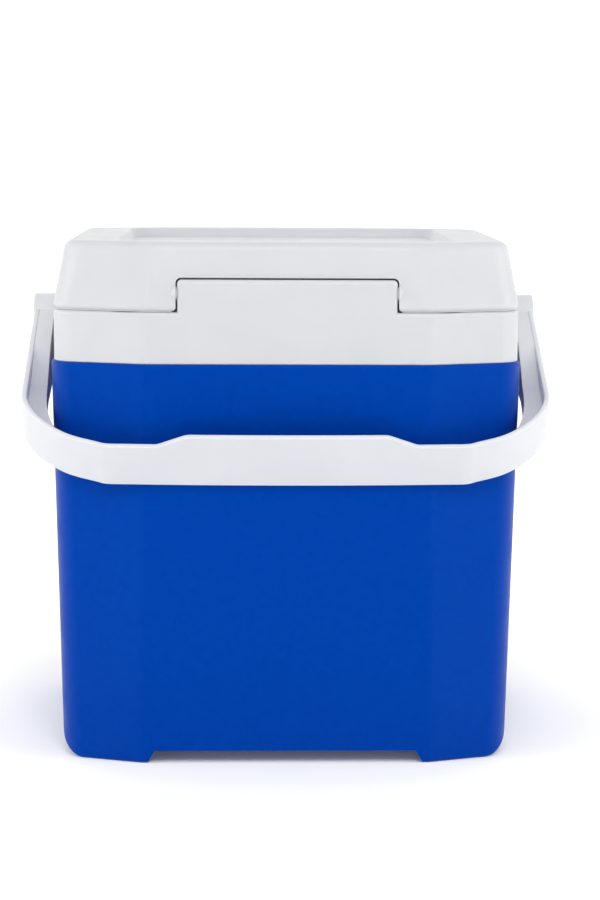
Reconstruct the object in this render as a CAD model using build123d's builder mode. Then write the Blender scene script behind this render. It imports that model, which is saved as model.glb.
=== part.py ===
from build123d import *
import os
from math import atan2, cos, degrees, radians, sin, tan

# A hinged-lid cooler chest: blue outer shell, white liner and collar, insulated lid, swinging bail.
# Millimetres. Origin on the floor under the middle of the base, +Z up, +X to the right when the
# hinge side is looked at, -Y the hinge side, +Y the side that opens.

# ---- plan outline, shared by the shell, the collar and the lid ----
# A plan is (half width, half depth, half length of the flat middle, corner radius).
FACET_ANGLE = 18.0  # how far each end of a long side falls back from its flat middle
FACET_BLEND = 14.0  # radius that softens the line between flat and facet
SHELL_BASE_PLAN = (172.8, 141.1, 110.7, 22.0)
SHELL_RIM_PLAN = (179.4, 148.0, 107.8, 22.0)
COLLAR_PLAN = (177.3, 146.2, 107.9, 20.5)
MOUTH_PLAN = (159.3, 130.2, 101.0, 26.0)
LINER_FLOOR_PLAN = (153.5, 123.5, 97.0, 26.0)
LID_EDGE_PLAN = (178.3, 146.4, 107.9, 22.0)
LID_TOP_PLAN = (168.5, 136.0, 98.0, 22.0)

# ---- heights above the floor ----
RIM_Z = 309.0  # top of the blue shell
DECK_Z = 348.0  # top of the collar
LID_EDGE_Z = 348.4  # lower edge of the lid's skirt
LID_TOP_Z = 400.0
RISER_Z = 9.7  # height of the channels between the feet
HINGE_Z = 361.8
HANDLE_Z = 330.0

LINER_FLOOR_Z = 29.0

# ---- walls and clearances ----
SHELL_WALL = 2.6
LINER_WALL = 2.2
COLLAR_WALL = 3.4
LID_WALL = 2.6
FOAM_GAP = 0.1  # the foam's skin stands this far off the mouldings around it
OVERLAP = 1.0  # how far joined solids run into each other, and cuts past a face
BEYOND = 250.0  # further than any wall of the chest
FOOT_ROUND = 20.0  # roll of the shell's sides into its base
BASE_EDGE_ROUND = 2.5
LINER_FLOOR_ROUND = 12.0
LINER_FLANGE = 6.0
COLLAR_DECK = 2.6
RIM_ROUND = 1.8
COLLAR_ROUND = 3.0
COLLAR_FOOT_ROUND = 0.9
BOSS_CORNER = 3.2
BOSS_ROUND = 2.9
BOSS_INNER_ROUND = 4.0

# ---- feet ----
CHANNEL_HALF_WIDTH_X = 100.4
CHANNEL_HALF_WIDTH_Y = 68.0
CHANNEL_FLARE = 6.0  # each channel is this much wider at the floor, on each side

# ---- collar and hinge ----
SPIGOT_DEPTH = 8.0  # how far the collar reaches down inside the shell
SPIGOT_INSET = 1.6
BOSS_HALF_WIDTH = 82.4
BOSS_TOP_Z = 372.3
BOSS_ROOT_Z = 329.0
BOSS_INNER_Y = -130.6
BOSS_END_THICKNESS = 15.0
HINGE_Y = -139.0
HINGE_PIN_RADIUS = 5.45
HINGE_PIN_START = 69.0
HINGE_SHOULDER_X = 84.6  # where the pin steps down to its journal
HINGE_JOURNAL_RADIUS = 3.2
HINGE_PIN_END = 96.5
HINGE_PIN_CHAMFER = 0.6
HINGE_CLEARANCE = 0.06
HINGE_END_GAP = 0.1
SWING_RADIUS = 14.3  # the lid's rear edge swings down inside this distance of the hinge line
SWING_END_X = 150.0

# ---- lid ----
NOTCH_HALF_WIDTH = 83.6
NOTCH_TOP_Z = 373.6
NOTCH_INNER_Y = -126.5
NOTCH_CORNER = 4.0
NOTCH_FOOT_ROUND = 3.5
NOTCH_MARGIN = 20.0  # how far the notch's cut runs past it, below the lid
LID_TOP_ROUND = 7.5
LID_EDGE_ROUND = 4.0
EAR_WIDTH = 15.0
EAR_TOP_Z = 372.0
EAR_INNER_Y = -130.0
KNUCKLE_RADIUS = 7.6
KNUCKLE_TIP_RADIUS = 2.4
KNUCKLE_WIDTH = 6.4
PANEL_Z = 348.3  # underside of the lid's inner panel
PANEL_THICKNESS = 2.5
PLUG_DEPTH = 15.0
PLUG_GAP = 1.6
PLUG_ROUND = 3.0
PLUG_TAPER = 3.0  # the plug narrows this much from top to bottom
RECESS_HALF_WIDTH = 129.0
RECESS_HALF_DEPTH = 113.0
RECESS_DEPTH = 7.4
RECESS_SLOPE = 4.5
RECESS_CORNER = 18.0
RECESS_FLOOR_ROUND = 2.0
RECESS_RIM_ROUND = 1.5
LIFT_HALF_WIDTH = 48.0
LIFT_REACH = 6.5
LIFT_HEIGHT = 9.0
LIFT_ROOT = 8.0  # how far the lip's ramp starts behind the lid's edge
LIFT_ROUND = 1.0

# ---- handle ----
HANDLE_DROP = 30.9  # the stored bail hangs this many degrees below level, on the hinge side
HUB_RADIUS = 21.8
HUB_OUTER_X = 201.2
HUB_INNER_X = 180.2
STUD_RADIUS = 8.0
STUD_CLEARANCE = 0.06
STUD_BORE_END = 195.0
STUD_HEAD_RADIUS = 14.0
STUD_HEAD_THICKNESS = 2.4
STUD_END_GAP = 1.0
STUD_CHAMFER = 0.8
ARM_HALF_WIDTH = 200.2  # outer face of the arms, at the pivot
ELBOW_HALF_WIDTH = 202.2  # outer face of the arms, where the corners begin
ELBOW_SPAN = 78.0
ELBOW_RISE = 66.0
ELBOW_POWER = 1.8  # a little fuller along its diagonal than a straight cut, flatter than an ellipse
REACH = 186.6
BOW = 1.4
STRAP_THICKNESS = 4.3
STRAP_UPPER = 18.8  # the strap's edges, above and below the line from pivot to crossbar
STRAP_LOWER = 18.2
STRAP_ROUND = 1.3
HUB_SPAN = 20.0  # the strap's edges stay sharp this close to the pivot, where the hub covers them
WEB_INNER_X = 184.4
WEB_HALF_THICKNESS = 8.0
WEB_WIDE_R = 58.0
WEB_SLIM_R = 98.0
WEB_END_X = 112.0
WEB_BEND_R = 104.0
ELBOW_STEPS = 6
TAB_HALF_LENGTH = 97.0
TAB_TOP_HALF_LENGTH = 75.0
TAB_HEIGHT = 9.4
TAB_BLEND = 14.0

# ---- plug of the foam port, in the base ----
PORT_RADIUS = 11.0
PORT_FLANGE_RADIUS = 14.5
PORT_FLANGE_THICKNESS = 1.6

os.makedirs("parts", exist_ok=True)


def inset(plan, wall):
    """The plan of a surface that lies wall inside another."""
    half_width, half_depth, flat, corner = plan
    return (half_width - wall, half_depth - wall, flat - wall * tan(radians(FACET_ANGLE / 2)), corner - wall)


def between(low_plan, high_plan, share):
    """The plan part of the way from one level's plan to another's."""
    return tuple(low + (high - low) * share for low, high in zip(low_plan, high_plan))


def shell_plan(z):
    """The outer plan of the blue shell at height z."""
    return between(SHELL_BASE_PLAN, SHELL_RIM_PLAN, z / RIM_Z)


def liner_plan(z):
    """The inner plan of the liner at height z."""
    return between(LINER_FLOOR_PLAN, MOUTH_PLAN, (z - LINER_FLOOR_Z) / (DECK_Z - LINER_FLOOR_Z))


def lid_plan(z):
    """The outer plan of the lid at height z."""
    return between(LID_EDGE_PLAN, LID_TOP_PLAN, (z - LID_EDGE_Z) / (LID_TOP_Z - LID_EDGE_Z))


def plan_corners(plan):
    """The eight corners of a plan: a rectangle whose long sides fall back towards each end."""
    half_width, half_depth, flat, _ = plan
    shoulder = half_depth - (half_width - flat) * tan(radians(FACET_ANGLE))
    right = [(half_width, -shoulder), (half_width, shoulder), (flat, half_depth)]
    left = [(-flat, half_depth), (-half_width, shoulder), (-half_width, -shoulder)]
    return right + left + [(-flat, -half_depth), (flat, -half_depth)]


def facet_reach(plan):
    """How far a plan's facets stand from the vertical axis."""
    return plan[2] * sin(radians(FACET_ANGLE)) + plan[1] * cos(radians(FACET_ANGLE))


def tapered(low_z, low_plan, high_z, high_plan):
    """A solid that runs straight from one plan to another, with its upright edges rounded."""
    height = high_z - low_z
    floor = Plane.XY.offset(low_z)
    lean = [
        high_plan[0] - low_plan[0],
        high_plan[1] - low_plan[1],
        facet_reach(high_plan) - facet_reach(low_plan),
    ]
    with BuildPart() as body:
        with BuildSketch(floor):
            Polygon(*plan_corners(low_plan), align=None)
        extrude(amount=height)
        for group, outward in enumerate(lean):
            walls = [face for face in body.faces() if wall_group(face) == group]
            if abs(outward) > 0.001:
                draft(walls, floor, degrees(atan2(-outward, height)))
        uprights = body.edges().filter_by(lambda edge: abs(edge.tangent_at(0.5).Z) > 0.9)
        middle = (low_plan[0] + low_plan[2]) / 2
        fillet([edge for edge in uprights if abs(edge.center().X) > middle], low_plan[3])
        uprights = body.edges().filter_by(lambda edge: abs(edge.tangent_at(0.5).Z) > 0.9)
        fillet([edge for edge in uprights if abs(edge.center().X) < middle], FACET_BLEND)
    return body.part


def wall_group(face):
    """Which kind of wall a face is: 0 a side, 1 a flat middle, 2 a facet, -1 a floor or top."""
    normal = face.normal_at()
    if abs(normal.Z) > 0.9:
        return -1
    if abs(normal.X) > 0.9:
        return 0
    return 1 if abs(normal.Y) > 0.98 else 2


def channel(half_width, floor_z, along):
    """A trapezium channel under the base, running along a plane's normal."""
    with BuildPart() as cut:
        with BuildSketch(along):
            Polygon(
                (-half_width - CHANNEL_FLARE, floor_z - RISER_Z),
                (half_width + CHANNEL_FLARE, floor_z - RISER_Z),
                (half_width, floor_z),
                (-half_width, floor_z),
                align=None,
            )
        extrude(amount=BEYOND, both=True)
    return cut.part


# ---- derived sizes ----
SHELL_FLOOR_Z = RISER_Z + SHELL_WALL
LINER_RIM_Z = DECK_Z - COLLAR_DECK
PANEL_TOP_Z = PANEL_Z + PANEL_THICKNESS
LID_INNER_TOP_Z = LID_TOP_Z - LID_WALL
DROP = radians(HANDLE_DROP)
REACH_DIRECTION = (0, -cos(DROP), -sin(DROP))
BAIL_PLANE = Plane(origin=(0, 0, HANDLE_Z), x_dir=(1, 0, 0), z_dir=(0, sin(DROP), -cos(DROP)))
BAIL_SIDE_PLANE = Plane(origin=(0, 0, HANDLE_Z), x_dir=REACH_DIRECTION, z_dir=(-1, 0, 0))
GRIP_PLANE = Plane(origin=(0, 0, HANDLE_Z), x_dir=(1, 0, 0), z_dir=REACH_DIRECTION)
HINGE_PLANE = Plane(origin=(0, HINGE_Y, HINGE_Z), x_dir=(0, 1, 0), z_dir=(1, 0, 0))
STUD_PLANE = Plane(origin=(0, 0, HANDLE_Z), x_dir=(0, 1, 0), z_dir=(1, 0, 0))


def sides_profile(wall, low_z, top_z):
    """The room between the shell's leaning sides, which roll into its base."""
    lean = (SHELL_RIM_PLAN[0] - SHELL_BASE_PLAN[0]) / RIM_Z
    low_half_width = shell_plan(low_z)[0] - wall
    top_half_width = low_half_width + lean * (top_z - low_z)
    with BuildPart() as room:
        with BuildSketch(Plane.XZ) as face:
            Polygon(
                (-low_half_width, low_z),
                (low_half_width, low_z),
                (top_half_width, top_z),
                (-top_half_width, top_z),
                align=None,
            )
            fillet(face.vertices().sort_by(Axis.Y)[:2], FOOT_ROUND - wall)
        extrude(amount=BEYOND, both=True)
    return room.part


def shell_form(wall, low_z, top_z):
    """The shell's outer form, or the form that lies wall inside it."""
    with BuildPart() as form:
        add(tapered(low_z, inset(shell_plan(low_z), wall), top_z, inset(shell_plan(top_z), wall)))
        if wall == 0:
            fillet(form.faces().sort_by(Axis.Z)[0].edges(), BASE_EDGE_ROUND)
        add(sides_profile(wall, low_z, top_z), mode=Mode.INTERSECT)
        add(channel(CHANNEL_HALF_WIDTH_X + wall, RISER_Z + wall, Plane.XZ), mode=Mode.SUBTRACT)
        add(channel(CHANNEL_HALF_WIDTH_Y + wall, RISER_Z + wall, Plane.YZ), mode=Mode.SUBTRACT)
    return form.part


# ---- outer shell: one blue moulding with a floor, four corner feet and a hole for the foam ----
with BuildPart() as outer_shell:
    add(shell_form(0, 0, RIM_Z))
    add(shell_form(SHELL_WALL, SHELL_WALL, RIM_Z), mode=Mode.SUBTRACT)
    with Locations((0, 0, RISER_Z)):
        Cylinder(PORT_RADIUS, 3 * SHELL_WALL, mode=Mode.SUBTRACT)
    fillet(outer_shell.edges().group_by(Axis.Z)[-1].group_by(SortBy.LENGTH)[-1], RIM_ROUND)
outer_shell.part.label = "outer_shell"
export_step(outer_shell.part, "parts/outer_shell.step")

# ---- plug that closes the foam port, in the middle of the base ----
with BuildPart() as foam_port_plug:
    with BuildSketch(Plane.XY.offset(RISER_Z - PORT_FLANGE_THICKNESS)):
        Circle(PORT_FLANGE_RADIUS)
    extrude(amount=PORT_FLANGE_THICKNESS)
    chamfer(foam_port_plug.edges().group_by(Axis.Z)[0], PORT_FLANGE_THICKNESS / 2)
    with BuildSketch(Plane.XY.offset(RISER_Z)):
        Circle(PORT_RADIUS - FOAM_GAP)
    extrude(amount=SHELL_WALL)
foam_port_plug.part.label = "foam_port_plug"
export_step(foam_port_plug.part, "parts/foam_port_plug.step")


def liner_form(wall, low_z, top_z):
    """The liner's inner form, or the form that stands wall outside it, with a rounded floor edge."""
    with BuildPart() as form:
        add(tapered(low_z, inset(liner_plan(LINER_FLOOR_Z), -wall), top_z, inset(liner_plan(top_z), -wall)))
        fillet(form.edges().group_by(Axis.Z)[0], LINER_FLOOR_ROUND + wall)
    return form.part


# ---- liner: the white tub that holds the goods, hung from a flange under the collar's deck ----
with BuildPart() as liner:
    add(liner_form(LINER_WALL, LINER_FLOOR_Z - LINER_WALL, LINER_RIM_Z))
    with BuildSketch(Plane.XY.offset(LINER_RIM_Z)):
        Polygon(*plan_corners(inset(MOUTH_PLAN, -LINER_FLANGE)), align=None)
    extrude(amount=-LINER_WALL)
    add(liner_form(0, LINER_FLOOR_Z, LINER_RIM_Z), mode=Mode.SUBTRACT)
liner.part.label = "liner"
export_step(liner.part, "parts/liner.step")


def straight(plan, low_z, top_z):
    """A solid with upright walls on one plan."""
    return tapered(low_z, plan, top_z, plan)


def across(radius, start_x, end_x, plane):
    """A round bar along X, between two distances to the right of the middle."""
    with BuildPart() as bar:
        with BuildSketch(plane.offset(start_x)):
            Circle(radius)
        extrude(amount=end_x - start_x)
    return bar.part


def on_both_sides(shape):
    """A shape and its mirror image in the plane through the middle of the chest."""
    return [shape, shape.mirror(Plane.YZ)]


# ---- collar: the white ring on the shell, with the hinge boss and the holes for the handle studs ----
with BuildPart() as collar:
    add(straight(COLLAR_PLAN, RIM_Z, DECK_Z))
    fillet(collar.faces().sort_by(Axis.Z)[-1].edges(), COLLAR_ROUND)
    fillet(collar.faces().sort_by(Axis.Z)[0].edges(), COLLAR_FOOT_ROUND)
    add(straight(inset(COLLAR_PLAN, SPIGOT_INSET), RIM_Z - SPIGOT_DEPTH, RIM_Z + OVERLAP))
    with BuildSketch(Plane.XZ.offset(-BOSS_INNER_Y)) as boss_face:
        Polygon(
            (-BOSS_HALF_WIDTH, BOSS_ROOT_Z),
            (BOSS_HALF_WIDTH, BOSS_ROOT_Z),
            (BOSS_HALF_WIDTH, BOSS_TOP_Z),
            (-BOSS_HALF_WIDTH, BOSS_TOP_Z),
            align=None,
        )
        fillet(boss_face.vertices().sort_by(Axis.Y)[-2:], BOSS_CORNER)
    extrude(amount=COLLAR_PLAN[1] + BOSS_INNER_Y)
    boss_top_edges = collar.edges().group_by(Axis.Z)[-1].filter_by(Axis.X).sort_by(Axis.Y)
    fillet(boss_top_edges[0], BOSS_ROUND)
    fillet(boss_top_edges[-1], BOSS_INNER_ROUND)
    add(straight(inset(COLLAR_PLAN, COLLAR_WALL), RIM_Z - SPIGOT_DEPTH, LINER_RIM_Z), mode=Mode.SUBTRACT)
    add(straight(MOUTH_PLAN, LINER_RIM_Z, DECK_Z), mode=Mode.SUBTRACT)
    with BuildSketch(Plane.XY.offset(LINER_RIM_Z)):
        with Locations((0, -(COLLAR_PLAN[1] - BOSS_INNER_Y) / 2)):
            Rectangle(
                2 * (BOSS_HALF_WIDTH - BOSS_END_THICKNESS),
                COLLAR_PLAN[1] + BOSS_INNER_Y - 2 * COLLAR_DECK,
            )
    extrude(amount=BOSS_TOP_Z - COLLAR_DECK - LINER_RIM_Z, mode=Mode.SUBTRACT)
    for relief in on_both_sides(across(SWING_RADIUS, NOTCH_HALF_WIDTH, SWING_END_X, HINGE_PLANE)):
        add(relief, mode=Mode.SUBTRACT)
    for hole in on_both_sides(across(HINGE_PIN_RADIUS, HINGE_PIN_START, HINGE_PIN_END, HINGE_PLANE)):
        add(hole, mode=Mode.SUBTRACT)
    stud_hole_x = COLLAR_PLAN[0] - 2 * COLLAR_WALL
    for hole in on_both_sides(across(STUD_RADIUS + STUD_CLEARANCE, stud_hole_x, HUB_INNER_X, STUD_PLANE)):
        add(hole, mode=Mode.SUBTRACT)
collar.part.label = "collar"
export_step(collar.part, "parts/collar.step")

# ---- hinge pins: one at each end of the boss, pressed in, and running in the lid's ears ----
with BuildPart() as hinge_pin_right:
    add(across(HINGE_PIN_RADIUS, HINGE_PIN_START, HINGE_SHOULDER_X, HINGE_PLANE))
    add(across(HINGE_JOURNAL_RADIUS, HINGE_SHOULDER_X, HINGE_PIN_END, HINGE_PLANE))
    chamfer(hinge_pin_right.edges().group_by(Axis.X)[-1], HINGE_PIN_CHAMFER)
    chamfer(hinge_pin_right.edges().group_by(Axis.X)[0], HINGE_PIN_CHAMFER)
hinge_pin_right.part.label = "hinge_pin_right"
export_step(hinge_pin_right.part, "parts/hinge_pin_right.step")

with BuildPart() as hinge_pin_left:
    add(hinge_pin_right.part.mirror(Plane.YZ))
hinge_pin_left.part.label = "hinge_pin_left"
export_step(hinge_pin_left.part, "parts/hinge_pin_left.step")

# ---- handle studs: headed inside the collar's side wall, and ending inside the handle's hubs ----
with BuildPart() as handle_stud_right:
    wall_inner_x = COLLAR_PLAN[0] - COLLAR_WALL
    add(across(STUD_HEAD_RADIUS, wall_inner_x - STUD_HEAD_THICKNESS, wall_inner_x, STUD_PLANE))
    add(across(STUD_RADIUS, wall_inner_x, STUD_BORE_END - STUD_END_GAP, STUD_PLANE))
    chamfer(handle_stud_right.edges().group_by(Axis.X)[-1], STUD_CHAMFER)
handle_stud_right.part.label = "handle_stud_right"
export_step(handle_stud_right.part, "parts/handle_stud_right.step")

with BuildPart() as handle_stud_left:
    add(handle_stud_right.part.mirror(Plane.YZ))
handle_stud_left.part.label = "handle_stud_left"
export_step(handle_stud_left.part, "parts/handle_stud_left.step")

# ---- body foam: fills the room between the shell, the collar and the liner ----
with BuildPart() as body_foam:
    foam_shoulder_z = RIM_Z - SPIGOT_DEPTH - OVERLAP
    foam_top_z = LINER_RIM_Z - LINER_WALL - FOAM_GAP
    add(shell_form(SHELL_WALL + FOAM_GAP, SHELL_WALL + FOAM_GAP, foam_shoulder_z))
    add(straight(inset(COLLAR_PLAN, COLLAR_WALL + FOAM_GAP), foam_shoulder_z - OVERLAP, foam_top_z))
    liner_skin = LINER_WALL + FOAM_GAP
    add(liner_form(liner_skin, LINER_FLOOR_Z - liner_skin, LINER_RIM_Z), mode=Mode.SUBTRACT)
    with Locations((0, 0, SHELL_FLOOR_Z)):
        Cylinder(PORT_RADIUS + OVERLAP, 3 * FOAM_GAP, mode=Mode.SUBTRACT)
    head_room = across(
        STUD_HEAD_RADIUS + FOAM_GAP,
        COLLAR_PLAN[0] - COLLAR_WALL - STUD_HEAD_THICKNESS - FOAM_GAP,
        COLLAR_PLAN[0],
        STUD_PLANE,
    )
    for room in on_both_sides(head_room):
        add(room, mode=Mode.SUBTRACT)
body_foam.part.label = "body_foam"
export_step(body_foam.part, "parts/body_foam.step")


def recess_form(wall):
    """The hollow in the lid's top, or the form that lies wall outside it, with sloping sides."""
    depth = RECESS_DEPTH + wall
    with BuildPart() as form:
        with BuildSketch(Plane.XY.offset(LID_TOP_Z)):
            RectangleRounded(
                2 * (RECESS_HALF_WIDTH + wall),
                2 * (RECESS_HALF_DEPTH + wall),
                RECESS_CORNER + wall,
            )
        extrude(amount=-depth, taper=degrees(atan2(RECESS_SLOPE, RECESS_DEPTH)))
    return form.part


def block(low_x, high_x, low_y, high_y, low_z, high_z):
    """A box between six coordinates."""
    with BuildPart() as box:
        with BuildSketch(Plane.XY.offset(low_z)):
            with Locations(((low_x + high_x) / 2, (low_y + high_y) / 2)):
                Rectangle(high_x - low_x, high_y - low_y)
        extrude(amount=high_z - low_z)
    return box.part


def lid_room(gap):
    """The hollow above the lid's inner panel, less a gap to the outer moulding all round."""
    low_z = PANEL_TOP_Z
    top_z = LID_INNER_TOP_Z - gap
    wall = LID_WALL + gap
    side_x = NOTCH_HALF_WIDTH + wall
    ear_x = NOTCH_HALF_WIDTH + EAR_WIDTH + gap
    with BuildPart() as room:
        add(tapered(low_z, inset(lid_plan(low_z), wall), top_z, inset(lid_plan(top_z), wall)))
        fillet(room.faces().sort_by(Axis.Z)[-1].edges(), LID_TOP_ROUND - wall)
        add(recess_form(wall), mode=Mode.SUBTRACT)
        add(block(-side_x, side_x, -BEYOND, NOTCH_INNER_Y + wall, 0, NOTCH_TOP_Z + wall), mode=Mode.SUBTRACT)
        for ear in on_both_sides(block(0, ear_x, -BEYOND, EAR_INNER_Y + gap, 0, EAR_TOP_Z + gap)):
            add(ear, mode=Mode.SUBTRACT)
    return room.part


# ---- knuckle: the cone round each hinge pin, which stands out of the leaning lid wall ----
with BuildPart() as knuckle:
    with BuildSketch(HINGE_PLANE.offset(NOTCH_HALF_WIDTH)):
        Circle(KNUCKLE_RADIUS)
    extrude(amount=KNUCKLE_WIDTH, taper=degrees(atan2(KNUCKLE_RADIUS - KNUCKLE_TIP_RADIUS, KNUCKLE_WIDTH)))

# ---- lid shell: the white outer moulding of the lid, with the notch and ears of its hinge ----
with BuildPart() as lid_shell:
    add(tapered(LID_EDGE_Z, LID_EDGE_PLAN, LID_TOP_Z, LID_TOP_PLAN))
    fillet(lid_shell.faces().sort_by(Axis.Z)[-1].edges(), LID_TOP_ROUND)
    fillet(lid_shell.faces().sort_by(Axis.Z)[0].edges(), LID_EDGE_ROUND)
    add(recess_form(0), mode=Mode.SUBTRACT)
    recess_floor = lid_shell.faces().filter_by(Axis.Z).group_by(Axis.Z)[-2].sort_by(SortBy.AREA)[-1]
    fillet(recess_floor.edges(), RECESS_FLOOR_ROUND)
    lid_top = lid_shell.faces().group_by(Axis.Z)[-1].sort_by(SortBy.AREA)[-1]
    fillet(lid_top.inner_wires()[0].edges(), RECESS_RIM_ROUND)
    with BuildSketch(Plane.YZ):
        lift_y = LID_EDGE_PLAN[1]
        Polygon(
            (lift_y - LIFT_ROOT, LID_EDGE_Z),
            (lift_y + LIFT_REACH, LID_EDGE_Z),
            (lift_y + LIFT_REACH, LID_EDGE_Z + LIFT_HEIGHT / 3),
            (lift_y - LIFT_ROOT, LID_EDGE_Z + 2 * LIFT_HEIGHT),
            align=None,
        )
    extrude(amount=LIFT_HALF_WIDTH, both=True)
    fillet(lid_shell.edges().group_by(Axis.Y)[-1], LIFT_ROUND)
    add(lid_room(0), mode=Mode.SUBTRACT)
    skirt_low = inset(LID_EDGE_PLAN, LID_WALL)
    skirt_top = inset(lid_plan(PANEL_TOP_Z), LID_WALL)
    add(tapered(LID_EDGE_Z, skirt_low, PANEL_TOP_Z, skirt_top), mode=Mode.SUBTRACT)
    for bump in on_both_sides(knuckle.part):
        add(bump)
    with BuildSketch(Plane.XZ.offset(-NOTCH_INNER_Y)) as notch_face:
        Polygon(
            (-NOTCH_HALF_WIDTH - NOTCH_MARGIN, LID_EDGE_Z - NOTCH_MARGIN),
            (NOTCH_HALF_WIDTH + NOTCH_MARGIN, LID_EDGE_Z - NOTCH_MARGIN),
            (NOTCH_HALF_WIDTH + NOTCH_MARGIN, LID_EDGE_Z),
            (NOTCH_HALF_WIDTH, LID_EDGE_Z),
            (NOTCH_HALF_WIDTH, NOTCH_TOP_Z),
            (-NOTCH_HALF_WIDTH, NOTCH_TOP_Z),
            (-NOTCH_HALF_WIDTH, LID_EDGE_Z),
            (-NOTCH_HALF_WIDTH - NOTCH_MARGIN, LID_EDGE_Z),
            align=None,
        )
        fillet(notch_face.vertices().group_by(Axis.Y)[-1], NOTCH_CORNER)
        feet = notch_face.vertices().group_by(Axis.Y)[1].sort_by(Axis.X)
        fillet(feet[1:-1], NOTCH_FOOT_ROUND)
    extrude(amount=BEYOND, mode=Mode.SUBTRACT)
    shoulder_x = HINGE_SHOULDER_X + HINGE_END_GAP
    bore_end_x = HINGE_PIN_END + HINGE_END_GAP
    shoulder_bore = across(HINGE_PIN_RADIUS + HINGE_CLEARANCE, NOTCH_HALF_WIDTH, shoulder_x, HINGE_PLANE)
    journal_bore = across(HINGE_JOURNAL_RADIUS + HINGE_CLEARANCE, shoulder_x, bore_end_x, HINGE_PLANE)
    for bore in on_both_sides(shoulder_bore) + on_both_sides(journal_bore):
        add(bore, mode=Mode.SUBTRACT)
lid_shell.part.label = "lid_shell"
export_step(lid_shell.part, "parts/lid_shell.step")


def plug_form(wall, low_z, top_z):
    """The plug under the lid, or the hollow that lies wall inside it."""
    share = (low_z - PANEL_Z + PLUG_DEPTH) / PLUG_DEPTH
    low_plan = inset(MOUTH_PLAN, PLUG_GAP + PLUG_TAPER * (1 - share) + wall)
    top_plan = inset(MOUTH_PLAN, PLUG_GAP + wall)
    with BuildPart() as form:
        add(tapered(low_z, low_plan, PANEL_Z, top_plan))
        if top_z > PANEL_Z:
            add(straight(top_plan, PANEL_Z, top_z))
    return form.part


# ---- lid liner: the white inner panel, with the shallow plug that drops into the chest's mouth ----
with BuildPart() as lid_liner:
    panel_fit = LID_WALL + FOAM_GAP
    panel_low = inset(lid_plan(PANEL_Z), panel_fit)
    add(tapered(PANEL_Z, panel_low, PANEL_TOP_Z, inset(lid_plan(PANEL_TOP_Z), panel_fit)))
    notch_x = NOTCH_HALF_WIDTH + LID_WALL
    plug_y = MOUTH_PLAN[1] - PLUG_GAP
    add(block(-notch_x, notch_x, -BEYOND, -plug_y, 0, BEYOND + PANEL_Z), mode=Mode.SUBTRACT)
    add(plug_form(0, PANEL_Z - PLUG_DEPTH, PANEL_Z))
    fillet(lid_liner.faces().sort_by(Axis.Z)[0].edges(), PLUG_ROUND)
    hollow_z = PANEL_Z - PLUG_DEPTH + LINER_WALL
    add(plug_form(LINER_WALL, hollow_z, PANEL_TOP_Z + OVERLAP), mode=Mode.SUBTRACT)
lid_liner.part.label = "lid_liner"
export_step(lid_liner.part, "parts/lid_liner.step")

# ---- lid foam: fills the lid and its plug ----
with BuildPart() as lid_foam:
    add(lid_room(FOAM_GAP))
    add(plug_form(LINER_WALL + FOAM_GAP, hollow_z + FOAM_GAP, PANEL_TOP_Z))
lid_foam.part.label = "lid_foam"
export_step(lid_foam.part, "parts/lid_foam.step")


def elbow(half_width, reach, span, rise, side):
    """Points round a corner of the bail, from the arm to the crossbar, on a superellipse."""
    points = []
    for step in range(ELBOW_STEPS + 1):
        angle = radians(90 * step / ELBOW_STEPS)
        across_x = half_width - span + span * cos(angle) ** (2 / ELBOW_POWER)
        points.append((side * across_x, reach - rise + rise * sin(angle) ** (2 / ELBOW_POWER)))
    return points


def bail_face(wall):
    """The bail's outline filled in, or the outline that lies wall inside it."""
    right = elbow(ELBOW_HALF_WIDTH - wall, REACH - wall, ELBOW_SPAN - wall, ELBOW_RISE - wall, 1)
    left = elbow(ELBOW_HALF_WIDTH - wall, REACH - wall, ELBOW_SPAN - wall, ELBOW_RISE - wall, -1)
    arm_x = ARM_HALF_WIDTH - wall
    with BuildSketch() as face:
        with BuildLine():
            Polyline(left[0], (-arm_x, 0), (arm_x, 0), right[0])
            Spline(*right, tangents=[(0, 1), (-1, 0)])
            ThreePointArc(right[-1], (0, REACH + BOW - wall), left[-1])
            Spline(*left, tangents=[(0, 1), (1, 0)])
        make_face()
    return face.sketch


def web_opening():
    """The room inside the webs that stiffen the arms and run out in the corners."""
    reach = REACH - STRAP_THICKNESS + BOW
    left_bend = (-WEB_INNER_X, WEB_BEND_R)
    right_bend = (WEB_INNER_X, WEB_BEND_R)
    with BuildSketch() as face:
        with BuildLine():
            Polyline(left_bend, (-WEB_INNER_X, -OVERLAP), (WEB_INNER_X, -OVERLAP), right_bend)
            Spline(right_bend, (WEB_END_X, reach), tangents=[(0, 1), (-1, 0)])
            Line((WEB_END_X, reach), (-WEB_END_X, reach))
            Spline((-WEB_END_X, reach), left_bend, tangents=[(-1, 0), (0, -1)])
        make_face()
    return face.sketch


def edge_profile():
    """The strap seen along its reach: level edges, with the grip edge raised in the middle."""
    with BuildPart() as profile:
        with BuildSketch(GRIP_PLANE) as face:
            Polygon(
                (-BEYOND, -STRAP_LOWER),
                (BEYOND, -STRAP_LOWER),
                (BEYOND, STRAP_UPPER),
                (TAB_HALF_LENGTH, STRAP_UPPER),
                (TAB_TOP_HALF_LENGTH, STRAP_UPPER + TAB_HEIGHT),
                (-TAB_TOP_HALF_LENGTH, STRAP_UPPER + TAB_HEIGHT),
                (-TAB_HALF_LENGTH, STRAP_UPPER),
                (-BEYOND, STRAP_UPPER),
                align=None,
            )
            fillet([v for v in face.vertices() if abs(v.X) < BEYOND / 2], TAB_BLEND)
        extrude(amount=BEYOND)
    return profile.part


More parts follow.
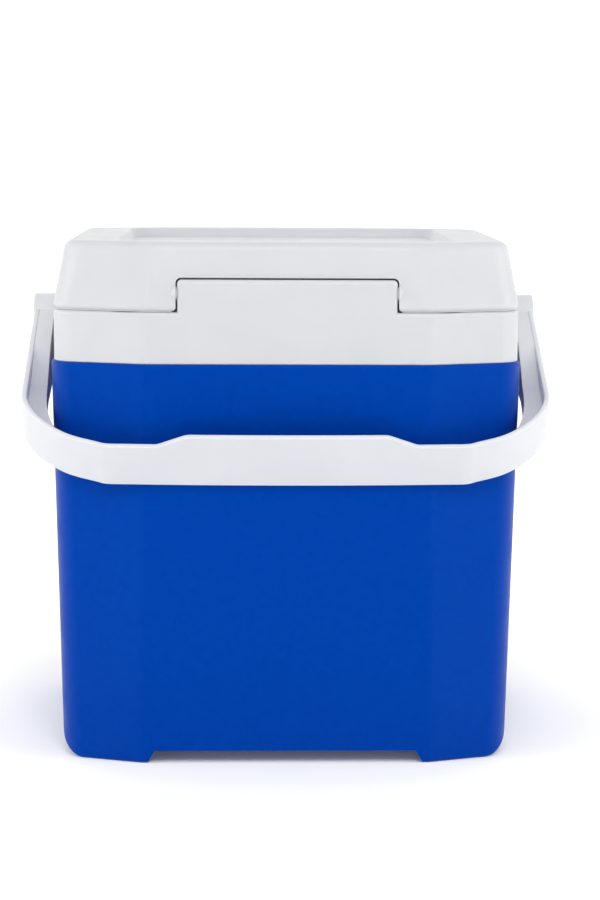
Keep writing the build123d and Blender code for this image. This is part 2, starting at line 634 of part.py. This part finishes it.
# ---- handle: one white moulding, two hubs on a bail with webbed arms and a raised grip edge ----
with BuildPart() as arm_webs:
    with BuildSketch(BAIL_PLANE.offset(-STRAP_LOWER)):
        add(bail_face(STRAP_THICKNESS / 2))
        add(web_opening(), mode=Mode.SUBTRACT)
    extrude(amount=2 * STRAP_LOWER)
    with BuildSketch(BAIL_SIDE_PLANE):
        Polygon(
            (0, -STRAP_LOWER),
            (WEB_WIDE_R, -STRAP_LOWER),
            (WEB_SLIM_R, -WEB_HALF_THICKNESS),
            (BEYOND, -WEB_HALF_THICKNESS),
            (BEYOND, WEB_HALF_THICKNESS),
            (WEB_SLIM_R, WEB_HALF_THICKNESS),
            (WEB_WIDE_R, STRAP_LOWER),
            (0, STRAP_LOWER),
            align=None,
        )
    extrude(amount=BEYOND, both=True, mode=Mode.INTERSECT)

with BuildPart() as handle:
    with BuildSketch(BAIL_PLANE.offset(-STRAP_UPPER - TAB_HEIGHT)):
        add(bail_face(0))
        add(bail_face(STRAP_THICKNESS), mode=Mode.SUBTRACT)
    extrude(amount=STRAP_UPPER + TAB_HEIGHT + STRAP_LOWER)
    add(edge_profile(), mode=Mode.INTERSECT)
    fillet([edge for edge in handle.edges() if edge.center().Y < -HUB_SPAN], STRAP_ROUND)
    add(arm_webs.part)
    for hub in on_both_sides(across(HUB_RADIUS, HUB_INNER_X, HUB_OUTER_X, STUD_PLANE)):
        add(hub)
    for bore in on_both_sides(across(STUD_RADIUS + STUD_CLEARANCE, HUB_INNER_X, STUD_BORE_END, STUD_PLANE)):
        add(bore, mode=Mode.SUBTRACT)
handle.part.label = "handle"
export_step(handle.part, "parts/handle.step")
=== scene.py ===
"""A small cooler chest seen from its hinge side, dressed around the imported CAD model.

Everything is in metres in the CAD frame: origin on the floor under the middle of the base,
+Z up, +X to the right, -Y the hinge side that faces the camera.
"""

from math import cos, pi, radians, sin

import bpy
from mathutils import Euler, Matrix, Vector

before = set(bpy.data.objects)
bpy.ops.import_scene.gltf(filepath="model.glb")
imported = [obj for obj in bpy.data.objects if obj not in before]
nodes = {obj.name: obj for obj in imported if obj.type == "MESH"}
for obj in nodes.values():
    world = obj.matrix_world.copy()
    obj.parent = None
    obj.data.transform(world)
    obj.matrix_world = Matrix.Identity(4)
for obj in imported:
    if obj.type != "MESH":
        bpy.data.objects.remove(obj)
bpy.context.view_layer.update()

# Linear colours. Each pair is the two ends of a slow drift over the surface.
BODY_WHITE = ((0.54, 0.547, 0.57), (0.52, 0.527, 0.55))
# The handle's white is the body's white painted lighter: painted light that makes up for the shade
# its arms get beside the lid.
HANDLE_WHITE_PAINTED_LIGHTER = ((0.62, 0.63, 0.66), (0.60, 0.61, 0.64))
DEEP_BLUE = ((0.0002, 0.034, 0.270), (0.0002, 0.041, 0.312))
FOAM_CREAM = ((0.80, 0.66, 0.36), (0.66, 0.50, 0.24))
PLUG_GREY = ((0.045, 0.05, 0.055), (0.075, 0.08, 0.085))
BLUE_REFLECTION = (0.0, 0.15, 0.8, 1)
PAPER_WHITE = (0.96, 0.955, 0.94, 1)
PLAIN_WHITE = (1, 1, 1, 1)

# The band of a noise texture's output that a drift of colour or roughness is spread over.
NARROW_BAND = (0.35, 0.65)
WIDE_BAND = (0.3, 0.7)

# Depths of surface relief.
SINK_DEPTH = 0.0006
WHITE_GRAIN_DEPTH = 0.000018
BLUE_GRAIN_DEPTH = 0.00005
FOAM_CELL_DEPTH = 0.0003
PLUG_GRAIN_DEPTH = 0.00002
PAPER_GRAIN_DEPTH = 0.00005

# The paper sweep: a flat floor, an arc and a wall behind.
SWEEP_HALF_WIDTH = 6.0
SWEEP_FRONT_Y = -5.0
SWEEP_ARC_Y = 3.5
SWEEP_ARC_RADIUS = 1.5
SWEEP_ARC_STEPS = 24
SWEEP_TOP_Z = 6.0

# The paper glows more with distance from the chest, so it stays white and keeps the contact shadow.
GLOW_DISTANCES = (0.20, 0.6)
GLOW_STRENGTHS = (0.05, 0.34)

# The sky's strength at the horizon and overhead, and the heights of direction between which it fades.
SKY_STRENGTHS = (1.03, 0.62)
SKY_HEIGHTS = (0.15, 0.9)

# Name, place, width, height and watts of each lamp; all point at LAMP_AIM.
LAMPS = (
    ("front_top", (0.1, -2.0, 2.1), 0.9, 0.9, 20),
    ("left", (-2.3, -0.6, 1.4), 0.8, 1.2, 18),
    ("right", (2.3, -0.6, 1.4), 0.8, 1.2, 17),
)
LAMP_AIM = (0, 0, 0.25)

# Focal length and sensor width in millimetres, angles in degrees.
CAMERA_LENS = 87.83
CAMERA_SENSOR = 36
CAMERA_CLIP_END = 50
CAMERA_PLACE = (-0.0321, -1.7830, 0.4803)
CAMERA_YAW = 1.47
CAMERA_PITCH = 8.19
CAMERA_ROLL = 0.31


# ---------------------------------------------------------------- materials
class Shader:
    """A material under construction: a Principled shader and the nodes that feed it."""

    def __init__(self, name):
        self.material = bpy.data.materials.new(name)
        self.material.use_nodes = True
        self.tree = self.material.node_tree
        self.surface = self.tree.nodes["Principled BSDF"]
        self.position = self.node("ShaderNodeTexCoord").outputs["Object"]

    def node(self, kind, **settings):
        made = self.tree.nodes.new(kind)
        for key, value in settings.items():
            setattr(made, key, value)
        return made

    def link(self, output, target):
        self.tree.links.new(output, target)

    def set(self, socket, value):
        self.surface.inputs[socket].default_value = value

    def noise(self, size, detail=3, roughness=0.5):
        """Noise whose features are about size metres across."""
        scaled = self.node("ShaderNodeMapping")
        scaled.inputs["Scale"].default_value = [1 / size] * 3
        self.link(self.position, scaled.inputs["Vector"])
        made = self.node("ShaderNodeTexNoise")
        made.inputs["Scale"].default_value = 1
        made.inputs["Detail"].default_value = detail
        made.inputs["Roughness"].default_value = roughness
        self.link(scaled.outputs["Vector"], made.inputs["Vector"])
        return made.outputs["Fac"]

    def remap(self, value, source, target):
        """Value carried from the source range to the target range, clamped at both ends."""
        made = self.node("ShaderNodeMapRange")
        for word, (low, high) in (("From", source), ("To", target)):
            made.inputs[f"{word} Min"].default_value = low
            made.inputs[f"{word} Max"].default_value = high
        self.link(value, made.inputs["Value"])
        return made.outputs["Result"]

    def tint(self, value, colours, band=NARROW_BAND):
        """Base colour that drifts between two colours with value."""
        made = self.node("ShaderNodeMix", data_type="RGBA")
        for socket, colour in zip("AB", colours):
            made.inputs[socket].default_value = (*colour, 1)
        self.link(self.remap(value, band, (0, 1)), made.inputs["Factor"])
        self.link(made.outputs["Result"], self.surface.inputs["Base Color"])

    def vary_roughness(self, value, low, high):
        self.link(self.remap(value, WIDE_BAND, (low, high)), self.surface.inputs["Roughness"])

    def bump(self, *layers):
        """Bump from (height, depth in metres) layers, each over the last."""
        below = None
        for height, depth in layers:
            made = self.node("ShaderNodeBump")
            made.inputs["Strength"].default_value = 1
            made.inputs["Distance"].default_value = depth
            self.link(height, made.inputs["Height"])
            if below is not None:
                self.link(below, made.inputs["Normal"])
            below = made.outputs["Normal"]
        self.link(below, self.surface.inputs["Normal"])


def white_moulding(name, colours):
    """Satin white plastic, a little translucent, with a spark-eroded grain and faint sink waves."""
    shader = Shader(name)
    shader.set("Subsurface Weight", 0.35)
    shader.set("Subsurface Radius", (1.0, 0.85, 0.65))
    shader.set("Subsurface Scale", 0.003)
    shader.set("Specular IOR Level", 0.32)
    shader.tint(shader.noise(size=0.07, detail=3, roughness=0.55), colours)
    shader.vary_roughness(shader.noise(size=0.018, detail=4, roughness=0.6), low=0.36, high=0.50)
    shader.bump(
        (shader.noise(size=0.06, detail=1), SINK_DEPTH),
        (shader.noise(size=0.0011, detail=2, roughness=0.6), WHITE_GRAIN_DEPTH),
    )
    return shader.material


def blue_moulding():
    """Deep blue plastic: reflections take its colour, but not at grazing angles."""
    shader = Shader("blue_moulding")
    shader.set("Specular Tint", BLUE_REFLECTION)
    shader.tint(shader.noise(size=0.006, detail=5, roughness=0.7), DEEP_BLUE, WIDE_BAND)
    shader.vary_roughness(shader.noise(size=0.015, detail=4, roughness=0.65), low=0.36, high=0.50)
    shader.bump(
        (shader.noise(size=0.05, detail=1), SINK_DEPTH),
        (shader.noise(size=0.0016, detail=3, roughness=0.65), BLUE_GRAIN_DEPTH),
    )
    return shader.material


def rigid_foam():
    """Cream insulating foam with small open cells."""
    shader = Shader("rigid_foam")
    shader.set("Roughness", 0.9)
    cells = shader.noise(size=0.0014, detail=3, roughness=0.6)
    shader.tint(cells, FOAM_CREAM)
    shader.bump((cells, FOAM_CELL_DEPTH))
    return shader.material


def plug_rubber():
    """Dark grey rubber-like plastic with a matt bloom."""
    shader = Shader("plug_rubber")
    bloom = shader.noise(size=0.006, detail=4, roughness=0.6)
    shader.tint(bloom, PLUG_GREY)
    shader.vary_roughness(bloom, low=0.45, high=0.65)
    shader.bump((shader.noise(size=0.0006, detail=2), PLUG_GRAIN_DEPTH))
    return shader.material


def glowing_paper():
    """Matt paper with a glow that grows with distance from the chest."""
    shader = Shader("paper")
    shader.set("Base Color", PAPER_WHITE)
    shader.set("Roughness", 0.9)
    shader.set("Emission Color", PLAIN_WHITE)
    distance = shader.node("ShaderNodeVectorMath", operation="LENGTH")
    shader.link(shader.position, distance.inputs["Vector"])
    glow = shader.remap(distance.outputs["Value"], GLOW_DISTANCES, GLOW_STRENGTHS)
    shader.link(glow, shader.surface.inputs["Emission Strength"])
    shader.bump((shader.noise(size=0.003, detail=3), PAPER_GRAIN_DEPTH))
    return shader.material


def dress():
    """Give every piece its finish; what isn't named here is white."""
    white = white_moulding("white_moulding", BODY_WHITE)
    foam = rigid_foam()
    finishes = {
        "outer_shell": blue_moulding(),
        "foam_port_plug": plug_rubber(),
        "body_foam": foam,
        "lid_foam": foam,
        # The handle takes the lighter white, painted light for its shaded arms.
        "handle": white_moulding("handle_moulding", HANDLE_WHITE_PAINTED_LIGHTER),
    }
    for name, obj in nodes.items():
        for slot in obj.material_slots:
            slot.material = finishes.get(name, white)


# ---------------------------------------------------------------- studio
def soft_light(name, place, width, height, watts):
    light = bpy.data.lights.new(name, "AREA")
    light.shape = "RECTANGLE"
    light.size = width
    light.size_y = height
    light.energy = watts
    obj = bpy.data.objects.new(name, light)
    bpy.context.collection.objects.link(obj)
    obj.location = place
    obj.rotation_euler = (Vector(LAMP_AIM) - Vector(place)).to_track_quat("-Z", "Y").to_euler()


def floor():
    """A plain pale sweep that rises behind the chest, far off, without a visible edge."""
    angles = [pi / 2 * k / SWEEP_ARC_STEPS for k in range(SWEEP_ARC_STEPS + 1)]
    arc = [(SWEEP_ARC_Y + SWEEP_ARC_RADIUS * sin(a), SWEEP_ARC_RADIUS * (1 - cos(a))) for a in angles]
    profile = [(SWEEP_FRONT_Y, 0.0), *arc, (SWEEP_ARC_Y + SWEEP_ARC_RADIUS, SWEEP_TOP_Z)]
    vertices = [(x, y, z) for y, z in profile for x in (-SWEEP_HALF_WIDTH, SWEEP_HALF_WIDTH)]
    faces = [(2 * k, 2 * k + 1, 2 * k + 3, 2 * k + 2) for k in range(len(profile) - 1)]
    mesh = bpy.data.meshes.new("sweep")
    mesh.from_pydata(vertices, [], faces)
    mesh.polygons.foreach_set("use_smooth", [True] * len(faces))
    mesh.materials.append(glowing_paper())
    obj = bpy.data.objects.new("sweep", mesh)
    bpy.context.collection.objects.link(obj)


def sky():
    """A white dome that is brightest at the horizon and dimmer overhead."""
    world = bpy.data.worlds.new("studio")
    world.use_nodes = True
    tree = world.node_tree
    direction = tree.nodes.new("ShaderNodeTexCoord")
    split = tree.nodes.new("ShaderNodeSeparateXYZ")
    fade = tree.nodes.new("ShaderNodeMapRange")
    for word, (low, high) in (("From", SKY_HEIGHTS), ("To", SKY_STRENGTHS)):
        fade.inputs[f"{word} Min"].default_value = low
        fade.inputs[f"{word} Max"].default_value = high
    background = tree.nodes["Background"]
    background.inputs["Color"].default_value = PLAIN_WHITE
    tree.links.new(direction.outputs["Generated"], split.inputs["Vector"])
    tree.links.new(split.outputs["Z"], fade.inputs["Value"])
    tree.links.new(fade.outputs["Result"], background.inputs["Strength"])
    bpy.context.scene.world = world


def studio():
    sky()
    bpy.context.scene.view_settings.view_transform = "Standard"
    for lamp in LAMPS:
        soft_light(*lamp)


def camera():
    """The view from a little left of centre, looking slightly right and down."""
    data = bpy.data.cameras.new("camera")
    data.lens = CAMERA_LENS
    data.sensor_width = CAMERA_SENSOR
    data.clip_end = CAMERA_CLIP_END
    obj = bpy.data.objects.new("camera", data)
    bpy.context.collection.objects.link(obj)
    yaw, pitch, roll = radians(CAMERA_YAW), radians(CAMERA_PITCH), radians(CAMERA_ROLL)
    aim = Euler((pi / 2 - pitch, 0, -yaw)).to_matrix() @ Matrix.Rotation(roll, 3, "Z")
    obj.matrix_world = Matrix.Translation(CAMERA_PLACE) @ aim.to_4x4()
    bpy.context.scene.camera = obj


dress()
floor()
studio()
camera()
